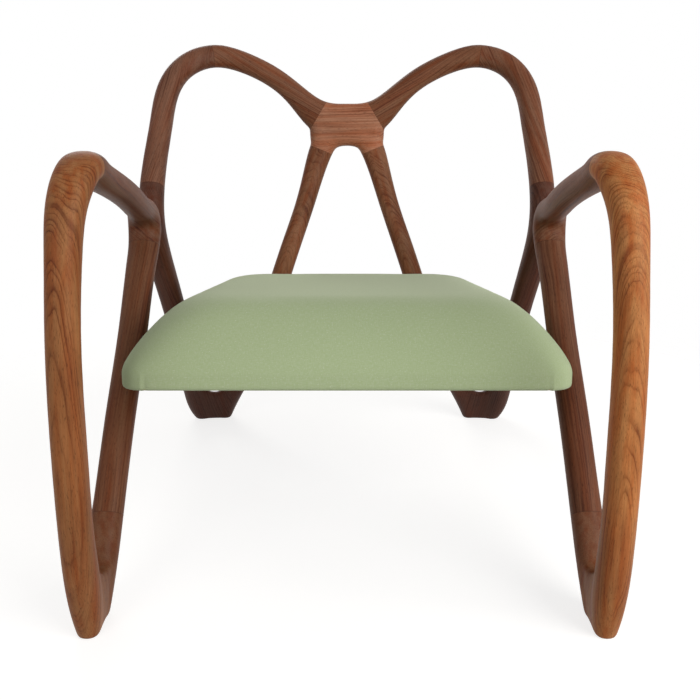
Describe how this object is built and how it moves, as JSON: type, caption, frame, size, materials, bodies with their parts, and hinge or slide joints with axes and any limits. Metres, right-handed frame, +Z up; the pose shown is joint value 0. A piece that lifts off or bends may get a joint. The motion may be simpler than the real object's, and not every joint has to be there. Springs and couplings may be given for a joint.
{
  "type": "outdoor lounge chair",
  "caption": "Low lounge chair with a carved hardwood frame of flowing oval limbs that form arms, legs and an open arched back, and a domed upholstered seat.",
  "frame": {"origin": "centre of the footprint box, on the floor", "axes": "+Z up, -Y is the way the sitter faces, +X to the right as seen from the front"},
  "size_m": [0.7018, 0.7732, 0.7375],
  "materials": {
    "carved_hardwood": "satin oil",
    "seat_frame_wood": "raw",
    "dowel_wood": "raw",
    "webbing": "woven",
    "foam": "matte",
    "seat_fabric": "fine plain weave",
    "dust_cloth": "matte",
    "zinc_screw": "satin"
  },
  "bodies": {
    "root": {"front_leg_left": "carved_hardwood", "front_leg_right": "carved_hardwood", "arm_left": "carved_hardwood", "arm_right": "carved_hardwood", "side_rail_left": "carved_hardwood", "side_rail_right": "carved_hardwood", "rear_leg_left": "carved_hardwood", "rear_leg_right": "carved_hardwood", "back_post_left": "carved_hardwood", "back_post_right": "carved_hardwood", "top_rail_left": "carved_hardwood", "top_rail_right": "carved_hardwood", "back_strut_left": "carved_hardwood", "back_strut_right": "carved_hardwood", "yoke": "carved_hardwood", "front_bearer": "carved_hardwood", "rear_bearer": "carved_hardwood", "seat_rail_front": "seat_frame_wood", "seat_rail_rear": "seat_frame_wood", "seat_rail_left": "seat_frame_wood", "seat_rail_right": "seat_frame_wood", "arm_dowels": "dowel_wood", "rail_top_dowels": "dowel_wood", "rail_foot_dowels": "dowel_wood", "hip_dowels": "dowel_wood", "post_dowels": "dowel_wood", "arch_dowels": "dowel_wood", "wing_dowels": "dowel_wood", "strut_head_dowels": "dowel_wood", "strut_foot_dowels": "dowel_wood", "seat_frame_dowels": "dowel_wood", "webbing_lengthwise": "webbing", "webbing_crosswise": "webbing", "seat_foam": "foam", "seat_cover": "seat_fabric", "dust_cover": "dust_cloth", "seat_screws": "zinc_screw"}
  },
  "joints": []
}
